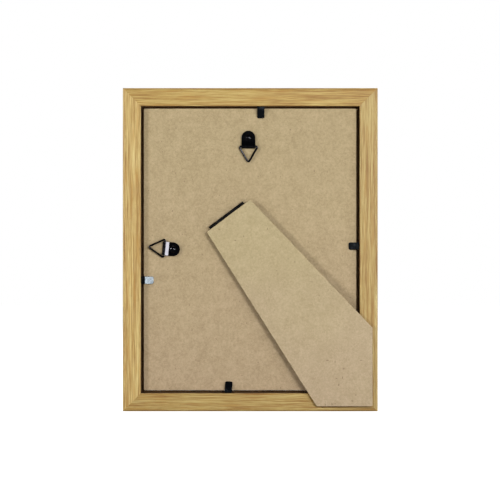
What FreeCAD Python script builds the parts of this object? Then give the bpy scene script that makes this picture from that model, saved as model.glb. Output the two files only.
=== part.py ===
import FreeCAD, Part
import os
from math import acos, asin, atan2, cos, degrees, hypot, radians, sin, tan

from FreeCAD import Matrix, Placement, Rotation, Vector

# Easel back photo frame for a 15 x 20 cm print, upright, seen from behind.
# X runs to the viewer's right, Y into the frame towards its front, Z up.
# The origin is the middle of the bottom rail's lower face. Lengths are in millimetres.

# Print, and how much wider and higher the rabbet is than the print
print_width = 150.0
print_height = 200.0
rabbet_play_across = 4.0
rabbet_play_up = 2.0

# Moulding, measured square to a rail
moulding_width = 19.0
moulding_depth = 15.0
rabbet_width = 6.3
lip_thickness = 5.0
back_outer_radius = 1.6
back_inner_radius = 0.4
front_outer_radius = 1.2
sight_edge_radius = 1.0

# V-nails across the mitres, driven below the back
nail_leg = 4.5
nail_height = 7.0
nail_thickness = 0.4
nail_sink = 1.0
nail_angle_deg = 110.0

# What lies in the rabbet, from the lip to the back
glass_thickness = 2.0
sheet_thickness = 0.4
board_thickness = 2.5
board_play_across = 4.2
board_play_up = 3.4
board_shift_across = -0.15
board_shift_up = 0.15
sheet_inset = 0.2
board_corner_radius = 0.8

# Flexible tabs in the rabbet's wall, bent down onto the board
tab_width = 5.2
tab_thickness = 0.5
tab_bite = 6.5
tab_point = 1.2
tab_point_width = 3.4
tab_reach = 8.3
tab_height = 2.4
tab_hinge_out = 0.6
tab_root_gap = 0.05
tab_bend_out = 2.6
tab_tip_gap = 0.1
tab_corner_radius = 1.0
tab_place_shares = {"top": 0.048, "bottom": -0.101, "left": -0.106, "right": 0.013}
tab_reach_shares = {"top": 1.0, "bottom": 0.97, "left": 1.05, "right": 0.92}
tab_skew_deg = {"top": 0.0, "bottom": 4.0, "left": 1.0, "right": -1.0}

# Hangers: a folded strap on one rivet, with a triangle ring in its loop
hanger_edge_distance = 20.6
top_hanger_offset = -1.15
side_hanger_offset = 0.15
side_hanger_turn_deg = 5.7
strap_width = 9.8
strap_thickness = 0.8
strap_play = 0.05
strap_seam = 0.06
strap_bend_out = 2.9
loop_play = 0.1
loop_corner_radius = 1.2
loop_corner_overhang = 0.3
rivet_to_ring = 6.0
ring_wire_radius = 0.7
ring_side_play = 0.07
ring_apex_deg = 60.0
ring_corner_radius = 0.95
ring_joint_gap = 0.3
rivet_head_radius = 2.4
rivet_head_height = 1.3
rivet_head_rim = 0.25
rivet_shank_radius = 1.5
rivet_play = 0.05
rivet_tail_radius = 2.5
rivet_tail_thickness = 0.4

# Strut hinge between the board and the easel leg
hinge_across_share = -0.108
hinge_up_share = 0.619
hinge_length = 30.0
hinge_pin_radius = 0.65
hinge_pin_play = 0.05
leaf_thickness = 0.6
leaf_width = 10.0
leaf_corner_radius = 1.2
knuckle_count = 5
knuckle_gap = 0.2
knuckle_relief = 0.2
knuckle_lift = 0.15
prong_width = 2.4
prong_tip_width = 0.8
prong_depth = 1.7
prong_end_distance = 3.5

# Easel leg, folded on the back: its top edge follows the hinge, its foot the frame's corner
leg_thickness = 2.5
leg_setback = 1.0
leg_low_margin = 3.2
leg_high_margin = 5.0
leg_low_flare_deg = 4.6
leg_high_flare_deg = 6.8
leg_side_inset = 3.8
leg_foot_inset = 3.7
leg_corner_radius = 1.0
leg_rest_gap = 0.25

# How far a cutting shape runs past what it cuts, and the shortest edge that is drawn
overrun = 1.0
shortest_edge = 0.0001

# Frame sizes that follow from the print and the moulding
opening_width = print_width + rabbet_play_across
opening_height = print_height + rabbet_play_up
back_width = moulding_width - rabbet_width
outer_width = opening_width + 2 * back_width
outer_height = opening_height + 2 * back_width
mid_height = outer_height / 2

outward_ways = {
    "bottom": Vector(0, 0, -1),
    "left": Vector(-1, 0, 0),
    "top": Vector(0, 0, 1),
    "right": Vector(1, 0, 0),
}

# Levels through the depth
back_y = -moulding_depth / 2
front_y = moulding_depth / 2
glass_front_y = front_y - lip_thickness
glass_back_y = glass_front_y - glass_thickness
sheet_back_y = glass_back_y - sheet_thickness
board_back_y = sheet_back_y - board_thickness
recess_depth = board_back_y - back_y

# Board, and the hanger places that are measured from its edges
board_width = opening_width - board_play_across
board_height = opening_height - board_play_up
board_mid_z = mid_height + board_shift_up
hanger_top_z = board_mid_z + board_height / 2 - hanger_edge_distance
hanger_side_x = board_shift_across - board_width / 2 + hanger_edge_distance

# Hinge sizes, in the hinge's own frame: X along the leg, Y along the pin, Z off the board
barrel_bore_radius = hinge_pin_radius + hinge_pin_play
barrel_radius = barrel_bore_radius + leaf_thickness
leaf_offset = barrel_radius + knuckle_lift
hinge_x = hinge_across_share * opening_width
hinge_z = back_width + hinge_up_share * opening_height
leg_lean = atan2(print_width, print_height)
leg_along = Vector(sin(leg_lean), 0, -cos(leg_lean))
leg_across = Vector(cos(leg_lean), 0, sin(leg_lean))

# Hanger levels above the board
loop_bore_radius = ring_wire_radius + loop_play
loop_radius = loop_bore_radius + strap_thickness
loop_axis_height = strap_play + loop_radius
strap_top = strap_play + 2 * strap_thickness + strap_seam
rivet_head_base = strap_top + rivet_play

# The ring's sloping sides pass the loop's outer edges with the side play
ring_half_angle = radians(ring_apex_deg / 2)
ring_side_reach = ring_wire_radius / cos(ring_half_angle) + loop_radius * tan(ring_half_angle)
ring_half_base = strap_width / 2 + ring_side_play + ring_side_reach
ring_height = ring_half_base / tan(ring_half_angle)


def seat(origin, along, outward):
    """Placement whose local X runs along and whose local Z runs outward."""
    side = outward.cross(along)
    return Placement(Matrix(along.x, side.x, outward.x, origin.x,
                            along.y, side.y, outward.y, origin.y,
                            along.z, side.z, outward.z, origin.z,
                            0, 0, 0, 1))


def placed(shape, placement):
    return shape.transformed(placement.toMatrix())


def rounded_face(corners):
    """Flat face inside a ring of (point, radius), each corner turned by an arc."""
    turns = []
    for index, (point, radius) in enumerate(corners):
        before = corners[index - 1][0] - point
        after = corners[(index + 1) % len(corners)][0] - point
        before.normalize()
        after.normalize()
        half = before.getAngle(after) / 2
        middle = (before + after).normalize() * (radius / sin(half) - radius)
        run = radius / tan(half)
        turns.append((point + before * run, point + middle, point + after * run))
    edges = []
    for index, (start, middle, end) in enumerate(turns):
        if corners[index][1] > 0:
            edges.append(Part.Arc(start, middle, end).toShape())
        following = turns[(index + 1) % len(turns)][0]
        if end.distanceToPoint(following) > shortest_edge:
            edges.append(Part.makeLine(end, following))
    return Part.Face(Part.Wire(edges))


def strip_face(points, thickness, normal):
    """Face of a bent strip: the points are its middle line, in a plane with this normal."""
    near, far = [], []
    for index, point in enumerate(points):
        before = point - points[index - 1] if index > 0 else points[1] - point
        after = points[index + 1] - point if index + 1 < len(points) else before
        side_before = normal.cross(before).normalize()
        side_after = normal.cross(after).normalize()
        share = thickness / 2 / (1 + side_before.dot(side_after))
        offset = (side_before + side_after) * share
        near.append((point + offset, 0))
        far.append((point - offset, 0))
    return rounded_face(near + far[::-1])


def cylinder_along(direction, start, length, radius):
    return Part.makeCylinder(radius, length, start, direction)


# Moulding


def rail(length):
    """Mitred rail along X, standing on Z = 0, with its rabbet open to the back and inward."""
    start = -length / 2
    section = rounded_face([
        (Vector(start, back_y, 0), back_outer_radius),
        (Vector(start, back_y, back_width), back_inner_radius),
        (Vector(start, glass_front_y, back_width), 0),
        (Vector(start, glass_front_y, moulding_width), 0),
        (Vector(start, front_y, moulding_width), sight_edge_radius),
        (Vector(start, front_y, 0), front_outer_radius),
    ])
    stick = section.extrude(Vector(length, 0, 0))
    inner_start = start + moulding_width
    mitred = Part.Face(Part.makePolygon([
        Vector(start, back_y, 0),
        Vector(-start, back_y, 0),
        Vector(-inner_start, back_y, moulding_width),
        Vector(inner_start, back_y, moulding_width),
        Vector(start, back_y, 0),
    ]))
    return stick.common(mitred.extrude(Vector(0, moulding_depth, 0)))


def rail_seat(side):
    """Where a rail goes: its own X along the frame's edge, its own Z towards the middle."""
    outward = outward_ways[side]
    x = outward.x * outer_width / 2
    z = mid_height + outward.z * outer_height / 2
    return seat(Vector(x, 0, z), outward.cross(Vector(0, 1, 0)), -outward)


def v_nail():
    """One V-nail, its point at the origin and its legs opening towards +X."""
    spread = radians(nail_angle_deg / 2)
    end = Vector(nail_leg * cos(spread), 0, nail_leg * sin(spread))
    point = Vector(0, 0, 0)
    plan = strip_face([end, point, Vector(end.x, 0, -end.z)], nail_thickness, Vector(0, 1, 0))
    return plan.extrude(Vector(0, nail_height, 0))


def v_nails():
    """A V-nail in the middle of each mitre, pointing at the frame's corner."""
    nails = []
    for across in (-1, 1):
        for up in (-1, 1):
            x = across * (outer_width - back_width) / 2
            z = mid_height + up * (outer_height - back_width) / 2
            turn = degrees(atan2(up, -across))
            turned = Rotation(Vector(0, 1, 0), turn)
            nails.append(placed(v_nail(), Placement(Vector(x, back_y + nail_sink, z), turned)))
    return Part.makeCompound(nails)


# Glass, insert sheet and backing board


def sheet_between(width, height, y_back, y_front, radius, x_mid, z_mid):
    """Upright sheet with rounded corners around the point (x_mid, z_mid)."""
    x, z = width / 2, height / 2
    outline = rounded_face([
        (Vector(x_mid - x, y_back, z_mid - z), radius),
        (Vector(x_mid + x, y_back, z_mid - z), radius),
        (Vector(x_mid + x, y_back, z_mid + z), radius),
        (Vector(x_mid - x, y_back, z_mid + z), radius),
    ])
    return outline.extrude(Vector(0, y_front - y_back, 0))


def glass_pane():
    """Glass cut to the print's size, lying on the lip."""
    return sheet_between(print_width, print_height, glass_back_y, glass_front_y, 0, 0, mid_height)


def insert_sheet():
    """Plain card in the print's place, trimmed a little smaller than the board."""
    trim = 2 * sheet_inset
    return sheet_between(board_width - trim, board_height - trim, sheet_back_y, glass_back_y,
                         0, board_shift_across, board_mid_z)


def backing_board(pressed_in):
    """Fibreboard back, holed for the rivets and dented by the hinge's prongs."""
    board = sheet_between(board_width, board_height, board_back_y, sheet_back_y,
                          board_corner_radius, board_shift_across, board_mid_z)
    return board.cut(pressed_in)


# Flexible tabs, in a frame with X out of the rabbet's wall and Z off the board


def tab_seat(side):
    """The foot of the rabbet's wall under a tab, at the level of the board's back."""
    inward = -outward_ways[side]
    origin = rail_seat(side).Base + inward * back_width
    origin.y = board_back_y
    if side in ("top", "bottom"):
        origin.x = tab_place_shares[side] * opening_width
    else:
        origin.z = mid_height + tab_place_shares[side] * opening_height
    skewed = Rotation(Vector(0, 1, 0), tab_skew_deg[side]).multVec(inward)
    return seat(origin, skewed, Vector(0, -1, 0))


def tab_blade():
    """The half of a tab that is driven into the rail, with its point cut narrower."""
    end = tab_hinge_out - tab_thickness / 2 - tab_root_gap
    low = tab_height - tab_thickness / 2
    half, tip = tab_width / 2, tab_point_width / 2
    outline = Part.makePolygon([
        Vector(end, -half, low),
        Vector(end, half, low),
        Vector(tab_point - tab_bite, half, low),
        Vector(-tab_bite, tip, low),
        Vector(-tab_bite, -tip, low),
        Vector(tab_point - tab_bite, -half, low),
        Vector(end, -half, low),
    ])
    return Part.Face(outline).extrude(Vector(0, 0, tab_thickness))


def tab_tongue(reach):
    """The half that bends: it leaves the wall level, then slopes down until its tip is on the board."""
    half = tab_width / 2
    root = Vector(tab_hinge_out, -half, tab_height)
    bend = Vector(tab_bend_out, -half, tab_height)
    tip = Vector(reach, -half, tab_tip_gap + tab_thickness / 2)
    side = strip_face([root, bend, tip], tab_thickness, Vector(0, 1, 0))
    strip = side.extrude(Vector(0, tab_width, 0))
    rolled = cylinder_along(Vector(0, 1, 0), root, tab_width, tab_thickness / 2)
    plan = rounded_face([
        (Vector(-overrun, -half, -overrun), 0),
        (Vector(reach, -half, -overrun), tab_corner_radius),
        (Vector(reach, half, -overrun), tab_corner_radius),
        (Vector(-overrun, half, -overrun), 0),
    ])
    through = plan.extrude(Vector(0, 0, tab_height + tab_thickness + 2 * overrun))
    return strip.fuse(rolled).common(through).removeSplitter()


# Hangers, in a frame with its origin under the rivet, X towards the ring and Z off the board


def top_hanger_seat():
    """Rivet near the board's top edge, its ring hanging straight down."""
    origin = Vector(board_shift_across + top_hanger_offset, board_back_y, hanger_top_z)
    return seat(origin, Vector(0, 0, -1), Vector(0, -1, 0))


def side_hanger_seat():
    """Rivet near the board's left edge, its ring turned a little above level."""
    origin = Vector(hanger_side_x, board_back_y, board_mid_z + side_hanger_offset)
    turn = radians(side_hanger_turn_deg)
    return seat(origin, Vector(-cos(turn), 0, sin(turn)), Vector(0, -1, 0))


def strap():
    """Strip folded round the ring's wire, its two layers lying together under the rivet head."""
    half = strap_width / 2
    under = strap_play + strap_thickness
    drop = loop_axis_height - strap_top
    run = rivet_to_ring - strap_bend_out
    slope = asin(loop_radius / hypot(run, drop)) + atan2(drop, run)

    def on_loop(radius, angle):
        return Vector(rivet_to_ring + radius * cos(angle), -half, loop_axis_height + radius * sin(angle))

    leave = slope + radians(90)
    outer_end = on_loop(loop_radius, leave)
    inner_end = on_loop(loop_bore_radius, leave)
    bend = Vector(strap_bend_out, -half, strap_top)
    inner_bend = bend + Vector(strap_thickness * tan(slope / 2), 0, -strap_thickness)
    lower = Vector(rivet_to_ring, -half, strap_play)
    lower_inner = Vector(rivet_to_ring, -half, under)
    side = Part.Face(Part.Wire([
        Part.makeLine(Vector(-half, -half, strap_play), lower),
        Part.Arc(lower, on_loop(loop_radius, slope / 2), outer_end).toShape(),
        Part.makeLine(outer_end, bend),
        Part.makeLine(bend, Vector(-half, -half, strap_top)),
        Part.makeLine(Vector(-half, -half, strap_top), Vector(-half, -half, under + strap_seam)),
        Part.makeLine(Vector(-half, -half, under + strap_seam), inner_bend),
        Part.makeLine(inner_bend, inner_end),
        Part.Arc(inner_end, on_loop(loop_bore_radius, slope / 2), lower_inner).toShape(),
        Part.makeLine(lower_inner, Vector(-half, -half, under)),
        Part.makeLine(Vector(-half, -half, under), Vector(-half, -half, strap_play)),
    ]))
    far = rivet_to_ring + loop_radius + loop_corner_overhang
    plan = rounded_face([
        (Vector(-half, -half, 0), half),
        (Vector(far, -half, 0), loop_corner_radius),
        (Vector(far, half, 0), loop_corner_radius),
        (Vector(-half, half, 0), half),
    ])
    folded = side.extrude(Vector(0, strap_width, 0)).common(plan.extrude(Vector(0, 0, far)))
    hole = cylinder_along(Vector(0, 0, 1), Vector(0, 0, 0), far, rivet_shank_radius + rivet_play)
    return folded.cut(hole)


def triangle_ring():
    """Wire bent to a triangle with round corners, its two ends meeting inside the loop."""
    corners = [
        Vector(0, ring_half_base, 0),
        Vector(ring_height, 0, 0),
        Vector(0, -ring_half_base, 0),
    ]
    start = Vector(0, ring_joint_gap / 2, 0)
    end = Vector(0, -ring_joint_gap / 2, 0)
    stops = [start] + corners + [end]
    edges = []
    here = start
    for before, corner, after in zip(stops, stops[1:], stops[2:]):
        back = (before - corner).normalize()
        on = (after - corner).normalize()
        angle = back.getAngle(on) / 2
        run = ring_corner_radius / tan(angle)
        inside = (back + on).normalize() * (ring_corner_radius / sin(angle) - ring_corner_radius)
        edges.append(Part.makeLine(here, corner + back * run))
        edges.append(Part.Arc(corner + back * run, corner + inside, corner + on * run).toShape())
        here = corner + on * run
    edges.append(Part.makeLine(here, end))
    wire_end = Part.Wire(Part.makeCircle(ring_wire_radius, start, Vector(0, 1, 0)))
    ring = Part.Wire(edges).makePipeShell([wire_end], True, True)
    ring.translate(Vector(rivet_to_ring, 0, loop_axis_height))
    return ring


def rivet():
    """Domed head over the strap, shank through strap and board, tail spread in the board."""
    tail = -board_thickness
    shoulder = tail + rivet_tail_thickness
    rim = rivet_head_base + rivet_head_rim
    crown = rivet_head_height - rivet_head_rim
    dome_radius = (rivet_head_radius ** 2 + crown ** 2) / (2 * crown)
    half_angle = asin(rivet_head_radius / dome_radius) / 2
    top = rim + crown
    dome_arc = Part.Arc(
        Vector(rivet_head_radius, 0, rim),
        Vector(dome_radius * sin(half_angle), 0, top - dome_radius * (1 - cos(half_angle))),
        Vector(0, 0, top))
    outline = [
        Vector(0, 0, top),
        Vector(0, 0, tail),
        Vector(rivet_tail_radius, 0, tail),
        Vector(rivet_tail_radius, 0, shoulder),
        Vector(rivet_shank_radius, 0, shoulder),
        Vector(rivet_shank_radius, 0, rivet_head_base),
        Vector(rivet_head_radius, 0, rivet_head_base),
        Vector(rivet_head_radius, 0, rim),
    ]
    edges = [Part.makeLine(a, b) for a, b in zip(outline, outline[1:])]
    section = Part.Face(Part.Wire(edges + [dome_arc.toShape()]))
    return section.revolve(Vector(0, 0, 0), Vector(0, 0, 1), 360)


# Hinge and easel leg


def knuckle_span(index):
    """Start and end of one knuckle along the pin, with the running gaps taken off."""
    pitch = hinge_length / knuckle_count
    start = -hinge_length / 2 + index * pitch
    low = start + (knuckle_gap / 2 if index > 0 else 0)
    high = start + pitch - (knuckle_gap / 2 if index + 1 < knuckle_count else 0)
    return low, high


def prong(y_mid):
    """Tapered prong bent down from the leaf's far edge."""
    top, tip = prong_width / 2, prong_tip_width / 2
    x = leaf_width - leaf_thickness
    base = leaf_thickness - leaf_offset
    face = Part.Face(Part.makePolygon([
        Vector(x, y_mid - top, base),
        Vector(x, y_mid + top, base),
        Vector(x, y_mid + top, -leaf_offset),
        Vector(x, y_mid + tip, -leaf_offset - prong_depth),
        Vector(x, y_mid - tip, -leaf_offset - prong_depth),
        Vector(x, y_mid - top, -leaf_offset),
        Vector(x, y_mid - top, base),
    ]))
    return face.extrude(Vector(leaf_thickness, 0, 0))


def hinge_leaf(own_knuckles):
    """Stamped leaf lying below the pin, rolled round it at its own knuckles."""
    half = hinge_length / 2
    clear_x = barrel_radius + knuckle_relief
    low = -leaf_offset
    plate = rounded_face([
        (Vector(clear_x, -half, low), 0),
        (Vector(leaf_width, -half, low), leaf_corner_radius),
        (Vector(leaf_width, half, low), leaf_corner_radius),
        (Vector(clear_x, half, low), 0),
    ]).extrude(Vector(0, 0, leaf_thickness))
    pieces = []
    for index in own_knuckles:
        start, end = knuckle_span(index)
        span = end - start
        pieces.append(Part.makeBox(clear_x, span, leaf_thickness, Vector(0, start, low)))
        pieces.append(cylinder_along(Vector(0, 1, 0), Vector(0, start, 0), span, barrel_radius))
    for y_mid in (prong_end_distance - half, 0, half - prong_end_distance):
        pieces.append(prong(y_mid))
    bore = cylinder_along(Vector(0, 1, 0), Vector(0, -half, 0), hinge_length, barrel_bore_radius)
    return plate.fuse(pieces).cut(bore).removeSplitter()


def hinge_pin():
    """Pin through all the knuckles, flush at both ends."""
    start = Vector(0, -hinge_length / 2, 0)
    return cylinder_along(Vector(0, 1, 0), start, hinge_length, hinge_pin_radius)


def hinge_seat():
    """The pin's middle, one leaf's height off the board."""
    origin = Vector(hinge_x, board_back_y - leaf_offset, hinge_z)
    return seat(origin, leg_along, Vector(0, -1, 0))


def leg_outline():
    """Corners of the leg as seen from behind, in the hinge's frame, and where it meets the rails."""
    low = Vector(leg_setback, -hinge_length / 2 - leg_low_margin, 0)
    high = Vector(leg_setback, hinge_length / 2 + leg_high_margin, 0)
    low_way = Vector(cos(radians(leg_low_flare_deg)), -sin(radians(leg_low_flare_deg)), 0)
    high_way = Vector(cos(radians(leg_high_flare_deg)), sin(radians(leg_high_flare_deg)), 0)

    def row_x(point):
        return point.x * leg_along.x + point.y * leg_across.x

    def row_z(point):
        return point.x * leg_along.z + point.y * leg_across.z

    def high_side_at(x):
        return high + high_way * ((x - hinge_x - row_x(high)) / row_x(high_way))

    def low_side_at(z):
        return low + low_way * ((z - hinge_z - row_z(low)) / row_z(low_way))

    side_x = outer_width / 2 - leg_side_inset
    foot = Vector(side_x - hinge_x, 0, leg_foot_inset - hinge_z)
    corner = Vector(foot.dot(leg_along), foot.dot(leg_across), 0)
    outline = [low, high, high_side_at(side_x), corner, low_side_at(leg_foot_inset)]
    first_rail = min(high_side_at(opening_width / 2).x, low_side_at(back_width).x)
    return outline, first_rail


def leg_tilt():
    """Angle between the folded leg and the board, when the leg just clears the moulding."""
    rise = recess_depth + leg_rest_gap - leaf_offset
    run = leg_outline()[1]
    return acos(leaf_offset / hypot(rise, run)) - atan2(run, rise)


def leg_seat():
    """The hinge's frame, turned about the pin to the folded leg's tilt."""
    tilted = Placement(Vector(0, 0, 0), Rotation(Vector(0, 1, 0), -degrees(leg_tilt())))
    return hinge_seat().multiply(tilted)


def easel_leg(leaf):
    """Fibreboard leg on its hinge leaf, in the leg's frame."""
    stretch = 1 / cos(leg_tilt())
    corners = [(Vector(point.x * stretch, point.y, leaf_offset), leg_corner_radius)
               for point in leg_outline()[0]]
    return rounded_face(corners).extrude(Vector(0, 0, leg_thickness)).cut(leaf)


# Assembly

nodes = {}

board_knuckles = range(0, knuckle_count, 2)
leg_knuckles = range(1, knuckle_count, 2)
upside_down = Placement(Vector(0, 0, 0), Rotation(Vector(1, 0, 0), 180))
leg_leaf = placed(hinge_leaf(leg_knuckles), upside_down)
nodes["hinge_board_leaf"] = placed(hinge_leaf(board_knuckles), hinge_seat())
nodes["hinge_pin"] = placed(hinge_pin(), hinge_seat())
nodes["hinge_leg_leaf"] = placed(leg_leaf, leg_seat())
nodes["easel_leg"] = placed(easel_leg(leg_leaf), leg_seat())

for name, hanger_seat in (("top", top_hanger_seat()), ("side", side_hanger_seat())):
    nodes["hanger_" + name + "_strap"] = placed(strap(), hanger_seat)
    nodes["hanger_" + name + "_ring"] = placed(triangle_ring(), hanger_seat)
    nodes["hanger_" + name + "_rivet"] = placed(rivet(), hanger_seat)

nodes["glass_pane"] = glass_pane()
nodes["insert_sheet"] = insert_sheet()
nodes["backing_board"] = backing_board([
    nodes["hanger_top_rivet"],
    nodes["hanger_side_rivet"],
    nodes["hinge_board_leaf"],
])

nodes["corner_v_nails"] = v_nails()
for side in ("top", "bottom", "left", "right"):
    nodes["tab_" + side + "_blade"] = placed(tab_blade(), tab_seat(side))
    nodes["tab_" + side] = placed(tab_tongue(tab_reach * tab_reach_shares[side]), tab_seat(side))
    length = outer_width if side in ("top", "bottom") else outer_height
    whole = placed(rail(length), rail_seat(side))
    nodes["rail_" + side] = whole.cut([nodes["tab_" + side + "_blade"], nodes["corner_v_nails"]])

os.makedirs("parts", exist_ok=True)
for name, shape in nodes.items():
    shape.exportStep("parts/" + name + ".step")
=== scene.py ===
import math

import bmesh
import bpy
from mathutils import Matrix, Quaternion, Vector


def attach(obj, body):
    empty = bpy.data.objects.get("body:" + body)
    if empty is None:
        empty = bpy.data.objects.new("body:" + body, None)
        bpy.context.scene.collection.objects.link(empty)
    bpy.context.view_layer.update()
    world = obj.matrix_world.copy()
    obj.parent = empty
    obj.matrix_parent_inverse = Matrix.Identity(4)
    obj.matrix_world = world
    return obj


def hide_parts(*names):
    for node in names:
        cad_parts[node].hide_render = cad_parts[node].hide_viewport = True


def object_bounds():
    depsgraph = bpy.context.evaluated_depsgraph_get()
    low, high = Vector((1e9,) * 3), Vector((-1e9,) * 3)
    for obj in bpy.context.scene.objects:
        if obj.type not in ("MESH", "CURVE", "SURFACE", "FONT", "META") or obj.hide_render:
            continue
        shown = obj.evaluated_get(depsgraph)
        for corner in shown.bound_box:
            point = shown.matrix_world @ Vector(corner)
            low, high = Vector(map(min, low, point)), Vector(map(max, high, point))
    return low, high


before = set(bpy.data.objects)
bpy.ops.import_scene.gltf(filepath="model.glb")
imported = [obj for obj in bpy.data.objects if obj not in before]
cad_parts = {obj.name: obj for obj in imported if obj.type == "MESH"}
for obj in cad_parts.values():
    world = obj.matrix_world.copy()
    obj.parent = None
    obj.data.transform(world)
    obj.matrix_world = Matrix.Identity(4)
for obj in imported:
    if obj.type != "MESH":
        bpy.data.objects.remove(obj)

cad_low, cad_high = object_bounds()


# Studio.
# The frame stands on a pale floor with its back to the camera, before a white background.
# Soft lamps light it from every side, and two small ones stand where its black metal mirrors them.


def put(tree, kind, inputs=None, **settings):
    """Add a node: its own settings, and its inputs fed by values or by other nodes' outputs."""
    node = tree.nodes.new(kind)
    for name, value in settings.items():
        setattr(node, name, value)
    for key, value in (inputs or {}).items():
        if isinstance(value, bpy.types.NodeSocket):
            tree.links.new(value, node.inputs[key])
        else:
            node.inputs[key].default_value = value
    return node


def sums(tree, operation, *values):
    """Output of a maths node on numbers or sockets."""
    return put(tree, "ShaderNodeMath", dict(enumerate(values)), operation=operation).outputs[0]


def spread(tree, value, low, high, to_low=0.0, to_high=1.0):
    """Value eased from one range to another."""
    node = put(tree, "ShaderNodeMapRange", {0: value, 1: low, 2: high, 3: to_low, 4: to_high},
               interpolation_type="SMOOTHSTEP")
    return node.outputs[0]


def shown(obj):
    """Link an object to the scene."""
    bpy.context.scene.collection.objects.link(obj)
    return obj


camera_distance = 1.6
view_width = 0.3515
aim = Vector((-0.00019, -0.0075, 0.11347))
camera_data = bpy.data.cameras.new("camera")
camera_data.sensor_width = 36
camera_data.lens = camera_data.sensor_width * camera_distance / view_width
camera_data.clip_start = 0.05
camera = shown(bpy.data.objects.new("camera", camera_data))
camera.location = aim - Vector((0, camera_distance, 0))
camera.rotation_euler = (math.radians(90), 0, 0)
bpy.context.scene.camera = camera
bpy.context.scene.view_settings.view_transform = "Standard"


def soft_lamp(name, azimuth_deg, elevation_deg, distance, width, height, watts):
    """Rectangular lamp turned to the frame's middle. Azimuth 0 is the camera's side, 90 the right."""
    data = bpy.data.lights.new(name, "AREA")
    data.shape = "RECTANGLE"
    data.size = width
    data.size_y = height
    data.energy = watts
    azimuth, elevation = math.radians(azimuth_deg), math.radians(elevation_deg)
    way = Vector((math.sin(azimuth) * math.cos(elevation), -math.cos(azimuth) * math.cos(elevation),
                  math.sin(elevation)))
    lamp = shown(bpy.data.objects.new(name, data))
    lamp.location = Vector((0, 0, aim.z)) + way * distance
    lamp.rotation_euler = way.to_track_quat("Z", "Y").to_euler()
    lamp.visible_camera = False


soft_lamp("lamp_above_right", 17, 12, 1.5, 0.36, 0.24, 8.3)
soft_lamp("lamp_left", -49, 12, 1.2, 0.14, 0.2, 4.9)
soft_lamp("lamp_right", 33, 0, 1.2, 0.2, 0.16, 1.8)
soft_lamp("lamp_far_right", 55, -5, 0.68, 0.09, 0.08, 0.48)
soft_lamp("lamp_side_right", 102, 12, 1.3, 0.4, 0.4, 3)
soft_lamp("lamp_side_left", 258, 12, 1.3, 0.4, 0.4, 3)
soft_lamp("lamp_front_right", 146, 28, 1.3, 1.2, 1.2, 9)
soft_lamp("lamp_front_left", 214, 28, 1.3, 1.2, 1.2, 6)
overhead = bpy.data.lights.new("lamp_above", "SUN")
overhead.energy = 0.2
overhead.angle = math.radians(20)
shown(bpy.data.objects.new("lamp_above", overhead))

# The camera sees the room white. It lights the pieces only a little, and their gloss mirrors it dark
# behind the camera, turning into a bright backdrop as a ray's direction turns towards +Y.
room_light = 0.10
room_behind_camera = 0.02
backdrop_in_gloss = 0.6
backdrop_fade_shares = (-0.3, 0.4)
world = bpy.data.worlds.new("studio")
bpy.context.scene.world = world
world.use_nodes = True
air = world.node_tree
rays = put(air, "ShaderNodeLightPath").outputs
towards = put(air, "ShaderNodeSeparateXYZ", {0: put(air, "ShaderNodeTexCoord").outputs["Generated"]}).outputs
reflected = spread(air, towards["Y"], *backdrop_fade_shares, room_behind_camera, backdrop_in_gloss)
unseen = put(air, "ShaderNodeMix", {"Factor": rays["Is Glossy Ray"], "A": room_light,
                                    "B": reflected}).outputs[0]
straight = sums(air, "MAXIMUM", rays["Is Camera Ray"], rays["Is Transmission Ray"])
level = put(air, "ShaderNodeMix", {"Factor": straight, "A": unseen, "B": 1.0}).outputs[0]
air.links.new(level, air.nodes["Background"].inputs["Strength"])
air.nodes["Background"].inputs["Color"].default_value = (1, 1, 1, 1)

floor_half = 3.0
floor_glow = 0.95
floor_grey = 0.48
floor_grey_in_gloss = 0.12
floor_fade = (0.0, 0.5)
floor_mesh = bpy.data.meshes.new("floor")
floor_mesh.from_pydata([(x, y, 0) for x, y in ((-floor_half, -floor_half), (floor_half, -floor_half),
                                               (floor_half, floor_half), (-floor_half, floor_half))],
                       [], [(0, 1, 2, 3)])
floor = shown(bpy.data.objects.new("floor", floor_mesh))
floor.visible_shadow = False
floor_material = bpy.data.materials.new("pale_floor")
floor_material.use_nodes = True
paint = floor_material.node_tree
paint.nodes.clear()
rays = put(paint, "ShaderNodeLightPath").outputs
seen = sums(paint, "MAXIMUM", rays["Is Camera Ray"], rays["Is Transmission Ray"])
place = put(paint, "ShaderNodeSeparateXYZ", {0: put(paint, "ShaderNodeTexCoord").outputs["Object"]}).outputs
front_only = spread(paint, place["Y"], *floor_fade, 0.0, backdrop_in_gloss)
mirrored = sums(paint, "MULTIPLY", rays["Is Glossy Ray"], front_only)
shine = sums(paint, "MAXIMUM", sums(paint, "MULTIPLY", seen, floor_glow), mirrored)
glow = put(paint, "ShaderNodeEmission", {"Strength": shine})
grey = put(paint, "ShaderNodeMix", {"Factor": rays["Is Glossy Ray"], "A": floor_grey,
                                    "B": floor_grey_in_gloss}).outputs[0]
matt = put(paint, "ShaderNodeBsdfDiffuse", {"Color": grey})
both = put(paint, "ShaderNodeAddShader", {0: glow.outputs[0], 1: matt.outputs[0]})
put(paint, "ShaderNodeOutputMaterial", {"Surface": both.outputs[0]})
floor_mesh.materials.append(floor_material)


# Mitred rails.
# Four lengths of fibreboard moulding, wrapped in oak-effect foil and cut to 45 degrees at both ends.
# The foil turns over the rabbet's edge and stops a little way down its wall; the core is bare below, and its
# colour is darkened as painted shade of the deep gaps beside the board.

mm = 0.001
back_width = 12.7 * mm
moulding_width = 19.0 * mm
moulding_depth = 15.0 * mm
lip_thickness = 5.0 * mm
sight_edge_radius = 1.0 * mm
front_outer_radius = 1.2 * mm
back_outer_radius = 1.6 * mm
back_inner_radius = 0.4 * mm
foil_turn_in = 2.6 * mm
foil_seam = 0.02 * mm
joint_groove = 0.09 * mm
outer_width = (cad_high - cad_low).x
outer_height = (cad_high - cad_low).z
mid_height = outer_height / 2


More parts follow.
